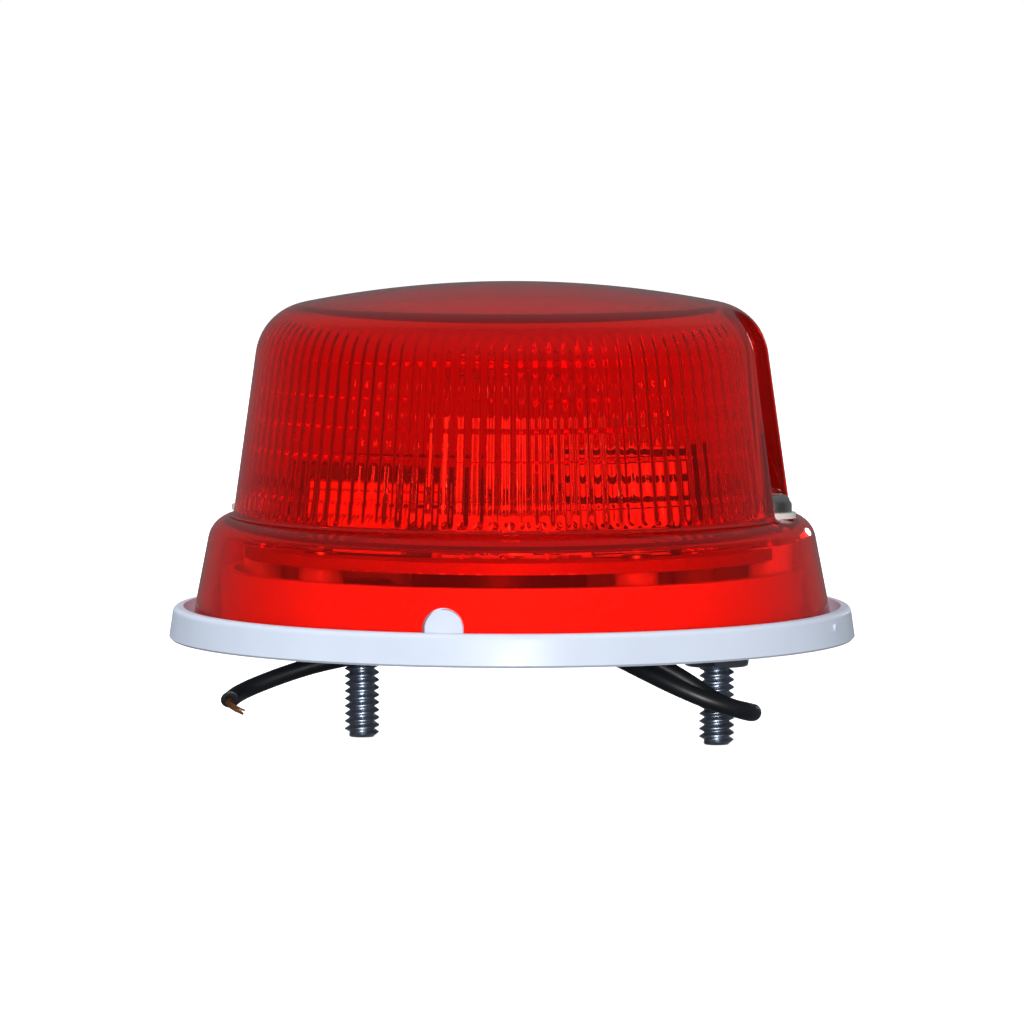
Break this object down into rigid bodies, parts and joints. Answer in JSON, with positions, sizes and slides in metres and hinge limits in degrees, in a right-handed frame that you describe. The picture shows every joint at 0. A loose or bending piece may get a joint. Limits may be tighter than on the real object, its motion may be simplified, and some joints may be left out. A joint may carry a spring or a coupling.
{
  "type": "horn strobe",
  "caption": "Round beacon strobe with sounder: white lipped base, deep red fluted lens held by screws, threaded studs and short leads below.",
  "frame": {"origin": "centre of the flat mounting face, on the lens axis", "axes": "+Z along the lens axis, away from the surface it mounts on; +X along the line of the two studs and two lens screws, towards the stud farther from the lens axis; the lens key faces -Y"},
  "size_m": [0.096, 0.096, 0.0642],
  "materials": {
    "white_plastic": "satin moulded",
    "red_lens": "clear polished, fluted inside",
    "gasket_rubber": "matte",
    "screw_steel": "bright",
    "nylon": "satin",
    "zinc_steel": "zinc plated",
    "black_rubber": "matte",
    "lead_insulation": "satin",
    "copper": "tarnished strands",
    "board_laminate": "satin",
    "tube_glass": "clear",
    "electrode_metal": "bright",
    "white_ceramic": "matte",
    "bare_wire": "bright",
    "coil_varnish": "varnished",
    "capacitor_sleeve": "shrunk sleeve",
    "ferrite": "matte",
    "winding_tape": "tape",
    "black_epoxy": "moulded",
    "sheet_aluminium": "mill",
    "resistor_lacquer": "lacquered, banded",
    "film_capacitor_dip": "dipped",
    "black_plastic": "satin"
  },
  "bodies": {
    "base": {"base": "white_plastic", "lens_gasket": "gasket_rubber", "mounting_bolt_left": "zinc_steel", "mounting_bolt_right": "zinc_steel", "cable_grommet": "black_rubber", "lead_left": "lead_insulation", "lead_right": "lead_insulation", "copper_end_left": "copper", "copper_end_right": "copper", "inner_leads": "lead_insulation", "circuit_board": "board_laminate", "board_screws": "screw_steel", "flash_tube": "tube_glass", "tube_electrodes": "electrode_metal", "tube_socket": "white_ceramic", "trigger_wire": "bare_wire", "trigger_coil": "coil_varnish", "storage_capacitor": "capacitor_sleeve", "inverter_core": "ferrite", "inverter_winding": "winding_tape", "switching_transistor": "black_epoxy", "heat_sink": "sheet_aluminium", "resistors": "resistor_lacquer", "diodes": "black_epoxy", "film_capacitor": "film_capacitor_dip", "piezo_sounder": "black_plastic"},
    "lens": {"lens": "red_lens"},
    "lens_screw_washer_left": {"lens_screw_washer_left": "nylon"},
    "lens_screw_left": {"lens_screw_left": "screw_steel"},
    "lens_screw_washer_right": {"lens_screw_washer_right": "nylon"},
    "lens_screw_right": {"lens_screw_right": "screw_steel"},
    "nut_washer_left": {"nut_washer_left": "zinc_steel"},
    "mounting_nut_left": {"mounting_nut_left": "zinc_steel"},
    "nut_washer_right": {"nut_washer_right": "zinc_steel"},
    "mounting_nut_right": {"mounting_nut_right": "zinc_steel"}
  },
  "joints": [
    {"name": "lens_lift", "type": "slide", "parent": "base", "child": "lens", "axis": [0, 0, 1], "range_m": [0, 0.06]},
    {"name": "lens_screw_left_travel", "type": "slide", "parent": "lens", "child": "lens_screw_washer_left", "axis": [0, 0, 1], "range_m": [0, 0.01191]},
    {"name": "lens_screw_left_turn", "type": "hinge", "parent": "lens_screw_washer_left", "child": "lens_screw_left", "pos_m": [-0.0363, 0, 0.0181], "axis": [0, 0, 1], "range_deg": [0, 5400]},
    {"name": "lens_screw_right_travel", "type": "slide", "parent": "lens", "child": "lens_screw_washer_right", "axis": [0, 0, 1], "range_m": [0, 0.01191]},
    {"name": "lens_screw_right_turn", "type": "hinge", "parent": "lens_screw_washer_right", "child": "lens_screw_right", "pos_m": [0.0363, 0, 0.0181], "axis": [0, 0, 1], "range_deg": [0, 5400]},
    {"name": "nut_left_travel", "type": "slide", "parent": "base", "child": "nut_washer_left", "axis": [0, 0, -1], "range_m": [0, 0.01588]},
    {"name": "nut_left_turn", "type": "hinge", "parent": "nut_washer_left", "child": "mounting_nut_left", "pos_m": [-0.0216, 0, -0.002], "axis": [0, 0, -1], "range_deg": [0, 5400]},
    {"name": "nut_right_travel", "type": "slide", "parent": "base", "child": "nut_washer_right", "axis": [0, 0, -1], "range_m": [0, 0.01588]},
    {"name": "nut_right_turn", "type": "hinge", "parent": "nut_washer_right", "child": "mounting_nut_right", "pos_m": [0.0292, 0, -0.002], "axis": [0, 0, -1], "range_deg": [0, 5400]}
  ],
  "couplings": [
    {"joint": "lens_screw_left_turn", "follows": "lens_screw_left_travel", "rad_per_m": 7915.8},
    {"joint": "lens_screw_right_turn", "follows": "lens_screw_right_travel", "rad_per_m": 7915.8},
    {"joint": "nut_left_turn", "follows": "nut_left_travel", "rad_per_m": 5936.9},
    {"joint": "nut_right_turn", "follows": "nut_right_travel", "rad_per_m": 5936.9}
  ]
}
